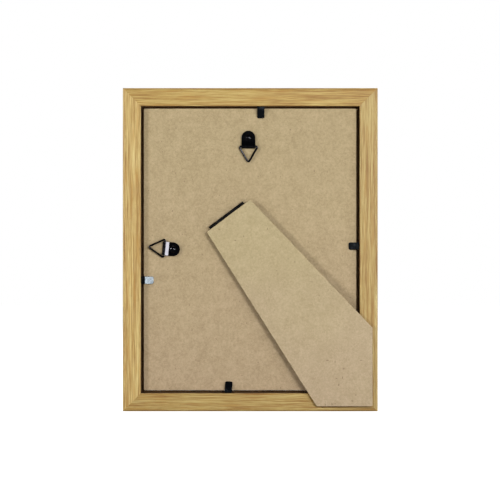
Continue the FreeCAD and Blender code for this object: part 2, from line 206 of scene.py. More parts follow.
def bent(points, radii, steps, closed=False):
    """Points of a bent line: each corner with a radius becomes an arc of this many steps."""
    line = []
    for index, (point, radius) in enumerate(zip(points, radii)):
        corner = Vector(point)
        if radius == 0 or (not closed and index in (0, len(points) - 1)):
            line.append(corner)
            continue
        before = (Vector(points[index - 1]) - corner).normalized()
        after = (Vector(points[(index + 1) % len(points)]) - corner).normalized()
        half = before.angle(after) / 2
        centre = corner + (before + after).normalized() * (radius / math.sin(half))
        start = corner + before * (radius / math.tan(half)) - centre
        end = corner + after * (radius / math.tan(half)) - centre
        axis = start.cross(end).normalized()
        for step in range(steps + 1):
            line.append(centre + Quaternion(axis, (math.pi - 2 * half) * step / steps) @ start)
    return line


def thread(name, points, closed=False):
    """Mesh of edges that run through the points."""
    mesh = bpy.data.meshes.new(name)
    last = len(points) if closed else len(points) - 1
    mesh.from_pydata(points, [(i, (i + 1) % len(points)) for i in range(last)], [])
    return mesh


def marked(mesh, name, kind, values):
    """Give a mesh's points a named attribute."""
    attribute = mesh.attributes.new(name, kind, "POINT")
    for item, value in zip(attribute.data, values):
        if kind == "FLOAT":
            item.value = value
        else:
            item.vector = value


def new_tree(name, inputs):
    """Geometry tree with a geometry input, named inputs and a geometry output."""
    tree = bpy.data.node_groups.new(name, "GeometryNodeTree")
    tree.interface.new_socket("Geometry", in_out="INPUT", socket_type="NodeSocketGeometry")
    for label, kind, default in inputs:
        socket = tree.interface.new_socket(label, in_out="INPUT", socket_type="NodeSocket" + kind)
        if default is not None:
            socket.default_value = default
    tree.interface.new_socket("Geometry", in_out="OUTPUT", socket_type="NodeSocketGeometry")
    return tree, put(tree, "NodeGroupInput").outputs, put(tree, "NodeGroupOutput")


def named(tree, name, kind="FLOAT"):
    """A named attribute as a field."""
    return put(tree, "GeometryNodeInputNamedAttribute", {"Name": name}, data_type=kind).outputs[0]


def stored(tree, geometry, name, value, kind="FLOAT"):
    """Geometry whose points carry a field under a name."""
    return put(tree, "GeometryNodeStoreNamedAttribute", {"Geometry": geometry, "Name": name, "Value": value},
               data_type=kind, domain="POINT").outputs[0]


def joined(tree, x, y, z):
    """Vector of three numbers or sockets."""
    return put(tree, "ShaderNodeCombineXYZ", {0: x, 1: y, 2: z}).outputs[0]


def parts_of(tree, vector):
    """Outputs X, Y and Z of a vector."""
    return put(tree, "ShaderNodeSeparateXYZ", {0: vector}).outputs


def placed(tree, geometry, given, helpers):
    """Geometry without its helping attributes, turned and put in its place, as one real mesh."""
    for helper in helpers:
        geometry = put(tree, "GeometryNodeRemoveAttribute", {"Geometry": geometry, "Name": helper}).outputs[0]
    geometry = put(tree, "GeometryNodeTransform", {"Geometry": geometry, "Translation": given["Place"],
                                                   "Rotation": given["Turn"]}).outputs[0]
    return put(tree, "GeometryNodeRealizeInstances", {"Geometry": geometry}).outputs[0]


def grown(name, base, tree, sizes):
    """Run a geometry tree on a base mesh and keep the result as a plain mesh."""
    obj = shown(bpy.data.objects.new(name, base))
    modifier = obj.modifiers.new(name, "NODES")
    modifier.node_group = tree
    for item in tree.interface.items_tree:
        if item.in_out == "INPUT" and item.name in sizes:
            modifier[item.identifier] = sizes[item.name]
    obj.data.update()
    graph = bpy.context.evaluated_depsgraph_get()
    mesh = bpy.data.meshes.new_from_object(obj.evaluated_get(graph), preserve_all_data_layers=True,
                                           depsgraph=graph)
    obj.modifiers.remove(modifier)
    obj.data = mesh
    mesh.name = name
    shell = bmesh.new()
    shell.from_mesh(mesh)
    bmesh.ops.recalc_face_normals(shell, faces=shell.faces)
    shell.to_mesh(mesh)
    shell.free()
    return obj


def finished(obj, body, slot, *nodes):
    """The piece rides on its body and stands for CAD nodes, which it hides. The slot is not used."""
    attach(obj, body)
    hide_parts(*nodes)


def noise(tree, vector, run, detail=2.0, roughness=0.5):
    """Noise on a vector in millimetres; run is how many millimetres it takes to change each way."""
    scaled = put(tree, "ShaderNodeVectorMath", {0: vector, 1: [1 / length for length in run]},
                 operation="MULTIPLY")
    return put(tree, "ShaderNodeTexNoise", {"Vector": scaled.outputs[0], "Scale": 1.0, "Detail": detail,
                                            "Roughness": roughness}).outputs[0]


def mixed(tree, factor, a, b, blend_type="MIX"):
    """Colour between two colours."""
    node = put(tree, "ShaderNodeMix", {0: factor, 6: a, 7: b}, data_type="RGBA", blend_type=blend_type)
    return node.outputs[2]


def screen(red, green, blue):
    """Linear colour of a screen colour given from 0 to 255."""
    levels = []
    for value in (red / 255, green / 255, blue / 255):
        levels.append(value / 12.92 if value <= 0.04045 else ((value + 0.055) / 1.055) ** 2.4)
    return (*levels, 1)


def ramp(tree, value, stops):
    """Colour at a value, between (place, colour) stops."""
    node = put(tree, "ShaderNodeValToRGB", {0: value})
    elements = node.color_ramp.elements
    while len(elements) < len(stops):
        elements.new(0.5)
    for element, (place, colour) in zip(elements, stops):
        element.position = place
        element.color = colour
    return node.outputs[0]


def effect(name, inputs, outputs):
    """Shader node group: an effect with named inputs and outputs."""
    group = bpy.data.node_groups.new(name, "ShaderNodeTree")
    for label, kind, default in inputs:
        socket = group.interface.new_socket(label, in_out="INPUT", socket_type="NodeSocket" + kind)
        socket.default_value = default
    for label in outputs:
        group.interface.new_socket(label, in_out="OUTPUT", socket_type="NodeSocketFloat")
    return group, put(group, "NodeGroupInput").outputs, put(group, "NodeGroupOutput")


def using(tree, group, inputs):
    """Outputs of an effect with these inputs."""
    return put(tree, "ShaderNodeGroup", inputs, node_tree=group).outputs


def new_material(name, **values):
    """Principled material; the values go on the shader's own sockets."""
    material = bpy.data.materials.new(name)
    material.use_nodes = True
    tree = material.node_tree
    shader = tree.nodes["Principled BSDF"].inputs
    for key, value in values.items():
        shader[key.replace("_", " ")].default_value = value
    return material, tree, shader


def object_millimetres(tree, start=(0, 0, 0)):
    """Object coordinates in millimetres, from a starting point of their own."""
    place = put(tree, "ShaderNodeTexCoord").outputs["Object"]
    return put(tree, "ShaderNodeMapping", {"Vector": place, "Location": start,
                                           "Scale": (1000, 1000, 1000)}).outputs[0]


def raised(tree, shader, height, depth):
    """Feed a bump of this real depth to the shader."""
    bump = put(tree, "ShaderNodeBump", {"Height": height, "Distance": depth, "Strength": 1.0})
    tree.links.new(bump.outputs[0], shader["Normal"])


# Fibres pressed into a board: soft mottle, dark bark flecks, fine hairs and the height of them all
pressed_fibre, given, result = effect("pressed_fibre", [
    ("Point", "Vector", (0, 0, 0)), ("Fleck Share", "Float", 0.1), ("Fleck Size", "Float", 0.1),
], ["Mottle", "Fleck", "Hair", "Height"])
fine = noise(pressed_fibre, given["Point"], (0.45, 0.45, 0.45), 3, 0.6)
middle = noise(pressed_fibre, given["Point"], (1.5, 1.5, 1.5))
broad = noise(pressed_fibre, given["Point"], (7, 7, 7))
mottle = sums(pressed_fibre, "ADD", sums(pressed_fibre, "MULTIPLY", fine, 0.5),
              sums(pressed_fibre, "ADD", sums(pressed_fibre, "MULTIPLY", middle, 0.3),
                   sums(pressed_fibre, "MULTIPLY", broad, 0.2)))
crooked = put(pressed_fibre, "ShaderNodeTexNoise", {"Vector": given["Point"], "Scale": 1.1, "Detail": 2.0})
shifted = put(pressed_fibre, "ShaderNodeVectorMath", {0: crooked.outputs[1], 1: (0.9, 0.9, 0.9),
                                                      2: given["Point"]}, operation="MULTIPLY_ADD").outputs[0]
flecks = []
for cells_per_millimetre in ((0.17, 0.3, 0.42), (0.42, 0.3, 0.17)):
    cells = put(pressed_fibre, "ShaderNodeVectorMath", {0: shifted, 1: cells_per_millimetre},
                operation="MULTIPLY").outputs[0]
    voronoi = put(pressed_fibre, "ShaderNodeTexVoronoi", {"Vector": cells, "Scale": 1.0}).outputs
    chance = parts_of(pressed_fibre, voronoi["Color"])
    chosen = sums(pressed_fibre, "LESS_THAN", chance["X"], given["Fleck Share"])
    size = sums(pressed_fibre, "MULTIPLY", given["Fleck Size"],
                sums(pressed_fibre, "ADD", chance["Y"], 0.45))
    near = spread(pressed_fibre, sums(pressed_fibre, "DIVIDE", voronoi["Distance"], size), 1.0, 0.55)
    flecks.append(sums(pressed_fibre, "MULTIPLY", chosen, near))
fleck = sums(pressed_fibre, "MAXIMUM", *flecks)
ridge = sums(pressed_fibre, "ABSOLUTE", sums(pressed_fibre, "SUBTRACT",
                                             noise(pressed_fibre, shifted, (1.9, 1.9, 1.9), 1), 0.5))
hair = sums(pressed_fibre, "MULTIPLY", spread(pressed_fibre, ridge, 0.011, 0.003),
            spread(pressed_fibre, noise(pressed_fibre, given["Point"], (2.3, 2.3, 2.3)), 0.5, 0.62))
height = sums(pressed_fibre, "ADD", fine, sums(pressed_fibre, "MULTIPLY", hair, 0.5))
for label, value in (("Mottle", mottle), ("Fleck", fleck), ("Hair", hair), ("Height", height)):
    pressed_fibre.links.new(value, result.inputs[label])

# Rubbed and dusty spots, which dull a shine
rubbed, given, result = effect("rubbed", [
    ("Point", "Vector", (0, 0, 0)), ("Amount", "Float", 0.5)], ["Dull", "Dust"])
cloud = spread(rubbed, noise(rubbed, given["Point"], (5, 5, 5), 4, 0.6), 0.42, 0.68)
speck = spread(rubbed, noise(rubbed, given["Point"], (0.22, 0.22, 0.22), 1), 0.72, 0.8)
rubbed.links.new(sums(rubbed, "MULTIPLY", cloud, given["Amount"]), result.inputs["Dull"])
rubbed.links.new(sums(rubbed, "MULTIPLY", sums(rubbed, "MULTIPLY", speck, cloud), given["Amount"]),
                 result.inputs["Dust"])

pore_depth = 0.035 * mm
oak_foil, tree, shader = new_material("oak_foil", Specular_IOR_Level=0.35)
foil = parts_of(tree, put(tree, "ShaderNodeAttribute", attribute_name="foil").outputs["Vector"])
along = sums(tree, "MULTIPLY", foil["X"], 1000)
round_it = sums(tree, "MULTIPLY", foil["Y"], 1000)
straight_grain = joined(tree, along, round_it, 0)
drift = sums(tree, "SUBTRACT", noise(tree, straight_grain, (75, 12, 1), 1), 0.5)
waver = sums(tree, "SUBTRACT", noise(tree, straight_grain, (13, 2.5, 1), 1), 0.5)
round_it = sums(tree, "MULTIPLY_ADD", drift, 2.4, sums(tree, "MULTIPLY_ADD", waver, 0.9, round_it))
grain = joined(tree, along, round_it, 0)
band = noise(tree, grain, (95, 3.0, 1))
streak = noise(tree, grain, (32, 0.75, 1), 2, 0.5)
thread_tone = noise(tree, grain, (9, 0.32, 1))
tone = sums(tree, "MULTIPLY_ADD", band, 0.26, sums(tree, "MULTIPLY_ADD", streak, 0.50,
                                                  sums(tree, "MULTIPLY", thread_tone, 0.24)))
wood = ramp(tree, tone, [(0.40, screen(160, 119, 64)), (0.47, screen(183, 148, 87)),
                         (0.53, screen(199, 171, 107)), (0.60, screen(216, 195, 132))])
amber = spread(tree, noise(tree, grain, (26, 2.4, 1), 1), 0.52, 0.74, 0, 0.42)
wood = mixed(tree, amber, wood, screen(192, 146, 74))
pore = sums(tree, "MULTIPLY", spread(tree, noise(tree, grain, (3.6, 0.19, 1), 1), 0.62, 0.7),
            spread(tree, noise(tree, grain, (34, 1.9, 1), 1), 0.45, 0.62))
wood = mixed(tree, sums(tree, "MULTIPLY", pore, 0.5), wood, screen(128, 92, 48))
worn = using(tree, rubbed, {"Point": object_millimetres(tree), "Amount": 0.6})
wood = mixed(tree, sums(tree, "MULTIPLY", worn["Dull"], 0.06), wood, screen(222, 206, 168))
warmth = put(tree, "ShaderNodeAttribute", attribute_name="warmth").outputs["Fac"]
wood = mixed(tree, warmth, wood, (0.96, 0.91, 0.74, 1), "MULTIPLY")
tint = sums(tree, "ADD", foil["Z"], 1)
tree.links.new(put(tree, "ShaderNodeVectorMath", {0: wood, 1: joined(tree, tint, tint, tint)},
                   operation="MULTIPLY").outputs[0], shader["Base Color"])
tree.links.new(sums(tree, "MULTIPLY_ADD", worn["Dull"], 0.12, sums(tree, "MULTIPLY_ADD", streak, 0.16, 0.36)),
               shader["Roughness"])
raised(tree, shader, sums(tree, "SUBTRACT", sums(tree, "MULTIPLY", thread_tone, 0.35), pore), pore_depth)

core_grit = 0.08 * mm
# The bare core is coloured darker than its own brown: painted shade of the deep gaps between the board and
# the rails.
shaded_bare_core, tree, shader = new_material("shaded_bare_core", Roughness=0.88, Specular_IOR_Level=0.2)
pulp = using(tree, pressed_fibre, {"Point": object_millimetres(tree), "Fleck Share": 0.2, "Fleck Size": 0.12})
shaded_pulp_colour = mixed(tree, pulp["Mottle"], screen(76, 53, 34), screen(118, 89, 60))
tree.links.new(mixed(tree, sums(tree, "MULTIPLY", pulp["Fleck"], 0.6), shaded_pulp_colour, screen(62, 43, 27)),
               shader["Base Color"])
raised(tree, shader, pulp["Height"], core_grit)

arc_steps = 10
section_points = bent(
    [(back_width + foil_seam, moulding_depth / 2 - lip_thickness, 0),
     (moulding_width, moulding_depth / 2 - lip_thickness, 0),
     (moulding_width, moulding_depth / 2, 0),
     (0, moulding_depth / 2, 0),
     (0, -moulding_depth / 2, 0),
     (back_width, -moulding_depth / 2, 0),
     (back_width, foil_turn_in - moulding_depth / 2, 0),
     (back_width, moulding_depth / 2 - lip_thickness, 0)],
    [0, 0, sight_edge_radius, front_outer_radius, back_outer_radius, back_inner_radius, 0, 0],
    arc_steps, closed=True)
moulding_section = thread("moulding_section", section_points, closed=True)
arc_lengths = [0.0]
for before, after in zip(section_points, section_points[1:]):
    arc_lengths.append(arc_lengths[-1] + (after - before).length)
inward_ways = []
for index, point in enumerate(section_points):
    following = section_points[(index + 1) % len(section_points)]
    inward_ways.append(Vector((0, 0, 1)).cross(following - section_points[index - 1]).normalized())
bare_points = [0.0] * len(section_points)
for index in (0, 1, -2, -1):  # the lip's inner face, and the rabbet's wall past the foil's edge
    bare_points[index] = 1.0
marked(moulding_section, "section", "FLOAT_VECTOR",
       [(p.x, p.y, s) for p, s in zip(section_points, arc_lengths)])
marked(moulding_section, "inward", "FLOAT_VECTOR", inward_ways)
marked(moulding_section, "bare", "FLOAT", bare_points)

tree, given, result = new_tree("mitred_rail", [
    ("Length", "Float", 0.2), ("Joint Groove", "Float", 0.0001), ("Foil Start", "Vector", (0, 0, 0)),
    ("Warmth", "Float", 0.0), ("Place", "Vector", (0, 0, 0)), ("Turn", "Rotation", (0, 0, 0)),
    ("Foil", "Material", None), ("Core", "Material", None)])
mitred_rail = tree
ring_count = 4  # two at each end: the mitre's face, drawn in by the groove, and the full section
middle_ring = (ring_count - 1) / 2
path = put(tree, "GeometryNodeCurvePrimitiveLine", {"Start": (-1, 0, 0), "End": (1, 0, 0)}).outputs[0]
path = put(tree, "GeometryNodeResampleCurve", {"Curve": path, "Count": ring_count}).outputs[0]
path = stored(tree, path, "ring", put(tree, "GeometryNodeInputIndex").outputs[0])
outline = put(tree, "GeometryNodeMeshToCurve", {"Mesh": given["Geometry"]}).outputs[0]
rail = put(tree, "GeometryNodeCurveToMesh", {"Curve": path, "Profile Curve": outline,
                                             "Fill Caps": True}).outputs[0]
from_middle = sums(tree, "SUBTRACT", named(tree, "ring"), middle_ring)
at_end = sums(tree, "GREATER_THAN", sums(tree, "ABSOLUTE", from_middle), middle_ring - 0.5)
section = parts_of(tree, named(tree, "section", "FLOAT_VECTOR"))
inward = parts_of(tree, named(tree, "inward", "FLOAT_VECTOR"))
groove = sums(tree, "MULTIPLY", at_end, given["Joint Groove"])
across = sums(tree, "MULTIPLY_ADD", inward["X"], groove, section["X"])
deep = sums(tree, "MULTIPLY_ADD", inward["Y"], groove, section["Y"])
half_run = sums(tree, "SUBTRACT", sums(tree, "DIVIDE", given["Length"], 2), section["X"])
half_run = sums(tree, "SUBTRACT", half_run, sums(tree, "SUBTRACT", given["Joint Groove"], groove))
along = sums(tree, "MULTIPLY", sums(tree, "SIGN", from_middle), half_run)
rail = stored(tree, rail, "at_end", at_end)
start = parts_of(tree, given["Foil Start"])
foil_place = joined(tree, sums(tree, "ADD", along, start["X"]), sums(tree, "ADD", section["Z"], start["Y"]),
                    start["Z"])
rail = stored(tree, rail, "foil", foil_place, "FLOAT_VECTOR")
rail = stored(tree, rail, "warmth", given["Warmth"])
rail = put(tree, "GeometryNodeSetPosition", {"Geometry": rail,
                                             "Position": joined(tree, along, deep, across)}).outputs[0]
# A face has the mean of its points' marks, so these tell a partly marked face from a wholly marked one
some_points = 0.3
all_points = 0.9
flat_facing = 0.9995
facing = parts_of(tree, put(tree, "GeometryNodeInputNormal").outputs[0])
flatness = sums(tree, "MAXIMUM", sums(tree, "ABSOLUTE", facing["Y"]), sums(tree, "ABSOLUTE", facing["Z"]))
round_face = sums(tree, "MULTIPLY", sums(tree, "LESS_THAN", flatness, flat_facing),
                  sums(tree, "LESS_THAN", named(tree, "at_end"), some_points))
rail = put(tree, "GeometryNodeSetShadeSmooth", {"Geometry": rail, "Shade Smooth": round_face}).outputs[0]
bare_face = sums(tree, "GREATER_THAN", sums(tree, "MAXIMUM", named(tree, "bare"), named(tree, "at_end")),
                 all_points)
held = put(tree, "GeometryNodeCaptureAttribute", {"Geometry": rail}, domain="FACE")
held.capture_items.new("FLOAT", "Bare")
tree.links.new(bare_face, held.inputs["Bare"])
rail = placed(tree, held.outputs["Geometry"], given, ("ring", "section", "inward", "bare", "at_end"))
rail = put(tree, "GeometryNodeSetMaterial", {"Geometry": rail, "Material": given["Foil"]}).outputs[0]
rail = put(tree, "GeometryNodeSetMaterial", {"Geometry": rail, "Selection": held.outputs["Bare"],
                                             "Material": given["Core"]}).outputs[0]
tree.links.new(rail, result.inputs[0])

# Place, turn in degrees, length, where on the foil its grain starts with its tone, and warmth
rail_places = {
    "bottom": ((0, 0, 0), 0, outer_width, (1.3, 0.2, -0.07), 0.5),
    "left": ((-outer_width / 2, 0, mid_height), 90, outer_height, (2.9, 0.7, 0.12), 0.0),
    "top": ((0, 0, outer_height), 180, outer_width, (4.1, 1.1, 0.0), 1.0),
    "right": ((outer_width / 2, 0, mid_height), 270, outer_height, (6.2, 1.6, -0.05), 0.1),
}
for side, (place, turn_deg, length, foil_start, warmth) in rail_places.items():
    rail = grown("moulding_" + side, moulding_section, mitred_rail, {
        "Length": length, "Joint Groove": joint_groove, "Foil Start": foil_start, "Warmth": warmth,
        "Place": place, "Turn": (0, math.radians(turn_deg), 0), "Foil": oak_foil, "Core": shaded_bare_core})
    finished(rail, "frame", "oak_foil", "rail_" + side)


# V-nails.
# Bright folded steel nails, shot across each mitre from behind until they lie below the surface.
# The CAD solids have their shape and stay.

nail_steel, tree, shader = new_material("nail_steel", Metallic=1.0)
point = object_millimetres(tree)
brushed = noise(tree, point, (0.05, 2.0, 0.05))
tree.links.new(mixed(tree, brushed, screen(150, 152, 156), screen(198, 200, 204)), shader["Base Color"])
tree.links.new(sums(tree, "MULTIPLY_ADD", brushed, 0.2, 0.25), shader["Roughness"])


def dressed(node, material):
    """A CAD node that stays, with a finer material."""
    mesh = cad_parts[node].data
    mesh.materials.clear()
    mesh.materials.append(material)


dressed("corner_v_nails", nail_steel)


# Glass and insert sheet.
# Clear float glass with seamed edges lies on the rabbet's lip, and a plain white card lies behind it,
# where the print goes.

clear_glass, tree, shader = new_material("clear_glass", Base_Color=(0.97, 0.99, 0.98, 1), IOR=1.52,
                                         Transmission_Weight=1.0, Metallic=0.0)
worn = using(tree, rubbed, {"Point": object_millimetres(tree), "Amount": 1.0})
tree.links.new(sums(tree, "MULTIPLY_ADD", worn["Dust"], 0.2, sums(tree, "MULTIPLY", worn["Dull"], 0.015)),
               shader["Roughness"])

card_tooth = 0.01 * mm
white_card, tree, shader = new_material("white_card", Roughness=0.8, Specular_IOR_Level=0.3)
point = object_millimetres(tree)
tooth = noise(tree, point, (0.12, 0.12, 0.12), 3)
cloud = noise(tree, point, (9, 9, 9))
tree.links.new(mixed(tree, sums(tree, "MULTIPLY_ADD", tooth, 0.5, sums(tree, "MULTIPLY", cloud, 0.5)),
                     screen(232, 231, 226), screen(245, 244, 240)), shader["Base Color"])
raised(tree, shader, tooth, card_tooth)
dressed("insert_sheet", white_card)

same_point = 0.001 * mm
flat_angle = math.radians(0.3)
sharp_angle = math.radians(40)


def softened(name, node, arris, steps, shrink=0.0):
    """Copy of a CAD node: its facets joined into whole faces, its sides drawn in and its edges rounded."""
    shell = bmesh.new()
    shell.from_mesh(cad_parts[node].data)
    bmesh.ops.remove_doubles(shell, verts=shell.verts, dist=same_point)
    bmesh.ops.dissolve_limit(shell, angle_limit=flat_angle, verts=shell.verts, edges=shell.edges)
    if shrink:
        middle = sum((v.co for v in shell.verts), Vector()) / len(shell.verts)
        for vertex in shell.verts:
            way = vertex.co - middle
            vertex.co = middle + Vector(s - math.copysign(shrink, s) for s in way)
    sharp = [e for e in shell.edges if len(e.link_faces) == 2 and e.calc_face_angle() > sharp_angle]
    bmesh.ops.bevel(shell, geom=sharp, offset=arris, offset_type="OFFSET", segments=steps, profile=0.5,
                    affect="EDGES", clamp_overlap=True)
    mesh = bpy.data.meshes.new(name)
    shell.to_mesh(mesh)
    shell.free()
    return shown(bpy.data.objects.new(name, mesh))


glass_arris = 0.25 * mm
glass_clearance = 0.02 * mm
pane = softened("glass", "glass_pane", glass_arris, 2, shrink=glass_clearance)
pane.data.materials.append(clear_glass)
finished(pane, "frame", "clear_glass", "glass_pane")


# Backing board.
# Tan fibreboard, cut a little smaller than the rails' opening, with its smooth side out.
# The four tabs hold it on the card and the glass.

board_light = screen(201, 181, 148)
board_dark = screen(168, 148, 115)
hair_light = screen(214, 196, 160)
fleck_dark = screen(112, 88, 58)
pink_painted_shade = (1.0, 0.945, 0.97, 1)
yellower = (1.0, 1.0, 0.9, 1)
face_grit = 0.03 * mm
edge_grit = 0.09 * mm
board_arris = 0.15 * mm


def fibreboard(name, start, light, dark, pink_shade_below, yellower_above):
    """Material of a fibreboard's smooth face, which drifts in tone over these heights in millimetres: darker
    and pinker lower down, partly at random and partly as painted shade of the light falling off downwards.
    """
    material, tree, shader = new_material(name, Specular_IOR_Level=0.28)
    pulp = using(tree, pressed_fibre, {"Point": object_millimetres(tree, start), "Fleck Share": 0.2,
                                       "Fleck Size": 0.14})
    colour = mixed(tree, spread(tree, pulp["Mottle"], 0.3, 0.7), dark, light)
    point = object_millimetres(tree)
    # Painted shade: the face grows darker and pinker towards the bottom, with a cloudy wobble, and yellower
    # towards the top.
    cloudy = sums(tree, "SUBTRACT", noise(tree, point, (55, 55, 55), 1), 0.5)
    height = sums(tree, "MULTIPLY_ADD", cloudy, 80, parts_of(tree, point)["Z"])
    tone = spread(tree, height, pink_shade_below, yellower_above)
    colour = mixed(tree, 1.0, colour, mixed(tree, tone, pink_painted_shade, yellower), "MULTIPLY")
    colour = mixed(tree, sums(tree, "MULTIPLY", pulp["Hair"], 0.35), colour, hair_light)
    colour = mixed(tree, sums(tree, "MULTIPLY", pulp["Fleck"], 0.6), colour, fleck_dark)
    tree.links.new(colour, shader["Base Color"])
    tree.links.new(sums(tree, "MULTIPLY_ADD", pulp["Mottle"], 0.2, 0.55), shader["Roughness"])
    raised(tree, shader, pulp["Height"], face_grit)
    return material


cut_edge, tree, shader = new_material("fibreboard_edge", Roughness=0.9, Specular_IOR_Level=0.15)
point = object_millimetres(tree)
pulp = using(tree, pressed_fibre, {"Point": point, "Fleck Share": 0.25, "Fleck Size": 0.12})
layers = noise(tree, point, (1.6, 0.13, 1.6), 3, 0.6)
colour = mixed(tree, spread(tree, layers, 0.3, 0.7), screen(132, 101, 64), screen(182, 151, 108))
colour = mixed(tree, sums(tree, "MULTIPLY", pulp["Fleck"], 0.5), colour, fleck_dark)
tree.links.new(colour, shader["Base Color"])
raised(tree, shader, sums(tree, "ADD", layers, pulp["Height"]), edge_grit)

# How square to the broad faces a face is, from 0 to 1, where it counts as one of them, as quite flat
# and as upright; and the area under which it counts as part of an arris
broad_share = 0.75
flat_share = 0.9998
upright_share = 0.02
arris_area = 0.5 * mm * mm


def broad_and_cut(obj, face_material, edge_material):
    """The two broad faces take one material, and the cut edges and arrises another."""
    mesh = obj.data
    mesh.materials.append(face_material)
    mesh.materials.append(edge_material)
    broad_way = max(mesh.polygons, key=lambda face: face.area).normal.copy()
    for face in mesh.polygons:
        level = abs(face.normal.dot(broad_way))
        face.material_index = 0 if level > broad_share else 1
        face.use_smooth = upright_share < level < flat_share or face.area < arris_area


board = softened("board", "backing_board", board_arris, 2)
broad_and_cut(board, fibreboard("board_face", (0, 0, 0), board_light, board_dark, -90, 220), cut_edge)
finished(board, "frame", "fibreboard", "backing_board")


# Flexible tabs.
# Stamped strips of black spring steel, driven into the rabbet's wall above the board.
# Each leaves the wall level and is bent down until its tip reaches the board.

rolling_marks = 0.0005 * mm
spring_steel, tree, shader = new_material("black_spring_steel", Specular_IOR_Level=0.75,
                                          Specular_Tint=(0.78, 0.9, 1.0, 1))
point = object_millimetres(tree)
worn = using(tree, rubbed, {"Point": point, "Amount": 0.7})
rolled = noise(tree, point, (0.6, 0.6, 0.08))
tree.links.new(mixed(tree, worn["Dust"], screen(3, 4, 7), screen(88, 90, 94)), shader["Base Color"])
tree.links.new(sums(tree, "MULTIPLY_ADD", worn["Dull"], 0.12, sums(tree, "MULTIPLY_ADD", rolled, 0.05, 0.12)),
               shader["Roughness"])
raised(tree, shader, rolled, rolling_marks)

tree, given, result = new_tree("bent_strip", [
    ("Width", "Float", 0.005), ("Thickness", "Float", 0.0005), ("Edge Radius", "Float", 0.0001),
    ("Near End", "Float", 0.0), ("Near Corner", "Float", 0.0), ("Far End", "Float", 0.01),
    ("Far Corner", "Float", 0.001), ("Steps", "Int", 80), ("Place", "Vector", (0, 0, 0)),
    ("Turn", "Rotation", (0, 0, 0)), ("Finish", "Material", None)])
bent_strip = tree
path = put(tree, "GeometryNodeMeshToCurve", {"Mesh": given["Geometry"]}).outputs[0]
path = put(tree, "GeometryNodeResampleCurve", {"Curve": path, "Count": given["Steps"]}).outputs[0]
path = stored(tree, path, "line", put(tree, "GeometryNodeInputPosition").outputs[0], "FLOAT_VECTOR")
lift = put(tree, "ShaderNodeVectorMath", {0: put(tree, "GeometryNodeInputTangent").outputs[0], 1: (0, 1, 0)},
           operation="CROSS_PRODUCT").outputs[0]
path = stored(tree, path, "lift", lift, "FLOAT_VECTOR")
rim = put(tree, "GeometryNodeCurvePrimitiveQuadrilateral", {"Width": given["Width"],
                                                            "Height": given["Thickness"]}).outputs[0]
rim = put(tree, "GeometryNodeFilletCurve", {"Curve": rim, "Radius": given["Edge Radius"], "Count": 3},
          mode="POLY").outputs[0]
rim = stored(tree, rim, "rim", put(tree, "GeometryNodeInputPosition").outputs[0], "FLOAT_VECTOR")
strip = put(tree, "GeometryNodeCurveToMesh", {"Curve": path, "Profile Curve": rim,
                                              "Fill Caps": True}).outputs[0]
rim = parts_of(tree, named(tree, "rim", "FLOAT_VECTOR"))
raised_line = put(tree, "ShaderNodeVectorMath", {
    0: named(tree, "lift", "FLOAT_VECTOR"), 1: joined(tree, rim["Y"], rim["Y"], rim["Y"]),
    2: named(tree, "line", "FLOAT_VECTOR")}, operation="MULTIPLY_ADD").outputs[0]
spot = parts_of(tree, raised_line)


def corner_inset(tree, distance, radius):
    """How far a round corner's edge lies inside the full width, at this distance from the end."""
    into_corner = sums(tree, "MINIMUM", sums(tree, "MAXIMUM", distance, 0.0), radius)
    inside = sums(tree, "SUBTRACT", radius, into_corner)
    square = sums(tree, "SUBTRACT", sums(tree, "MULTIPLY", radius, radius),
                  sums(tree, "MULTIPLY", inside, inside))
    return sums(tree, "SUBTRACT", radius, sums(tree, "SQRT", square))


near_inset = corner_inset(tree, sums(tree, "SUBTRACT", spot["X"], given["Near End"]), given["Near Corner"])
far_inset = corner_inset(tree, sums(tree, "SUBTRACT", given["Far End"], spot["X"]), given["Far Corner"])
half_width = sums(tree, "DIVIDE", given["Width"], 2)
narrowed = sums(tree, "SUBTRACT", half_width, sums(tree, "ADD", near_inset, far_inset))
sideways = sums(tree, "MULTIPLY", rim["X"], sums(tree, "DIVIDE", narrowed, half_width))
strip = put(tree, "GeometryNodeSetPosition", {
    "Geometry": strip, "Position": joined(tree, spot["X"], sideways, spot["Z"])}).outputs[0]
strip = put(tree, "GeometryNodeSetShadeSmooth", {"Geometry": strip, "Shade Smooth": True}).outputs[0]
# The lines where the flat faces meet their rounded edges are kept sharp. They lie on a face, and within
# this many edge radii of the next one
on_face = 0.001 * mm
border_radii = 1.2
from_side = sums(tree, "SUBTRACT", half_width, sums(tree, "ABSOLUTE", rim["X"]))
from_face = sums(tree, "SUBTRACT", sums(tree, "DIVIDE", given["Thickness"], 2),
                 sums(tree, "ABSOLUTE", rim["Y"]))
nearer = sums(tree, "MINIMUM", from_side, from_face)
farther = sums(tree, "MAXIMUM", from_side, from_face)
flat_border = sums(tree, "MULTIPLY", sums(tree, "LESS_THAN", nearer, on_face),
                   sums(tree, "LESS_THAN", farther,
                        sums(tree, "MULTIPLY", given["Edge Radius"], border_radii)))
strip = put(tree, "GeometryNodeSetShadeSmooth", {"Geometry": strip, "Selection": flat_border,
                                                 "Shade Smooth": False}, domain="EDGE").outputs[0]
strip = placed(tree, strip, given, ("line", "lift", "rim"))
strip = put(tree, "GeometryNodeSetMaterial", {"Geometry": strip, "Material": given["Finish"]}).outputs[0]
tree.links.new(strip, result.inputs[0])


def turn_of(along, outward):
    """Euler angles that take local X to one way and local Z to another."""
    side = outward.cross(along)
    return tuple(Matrix((along, side, outward)).transposed().to_euler())


board_back = -2.4 * mm
tab_width = 5.2 * mm
tab_thickness = 0.5 * mm
tab_height = 2.4 * mm
tab_hinge_out = 0.6 * mm
tab_bend_out = 2.6 * mm
tab_tip_height = 0.35 * mm
tab_bend_radius = 1.6 * mm
tab_edge_radius = 0.12 * mm
tab_corner_radius = 1.0 * mm
past_tip = 0.03 * mm
half_opening_width = outer_width / 2 - back_width
half_opening_height = outer_height / 2 - back_width
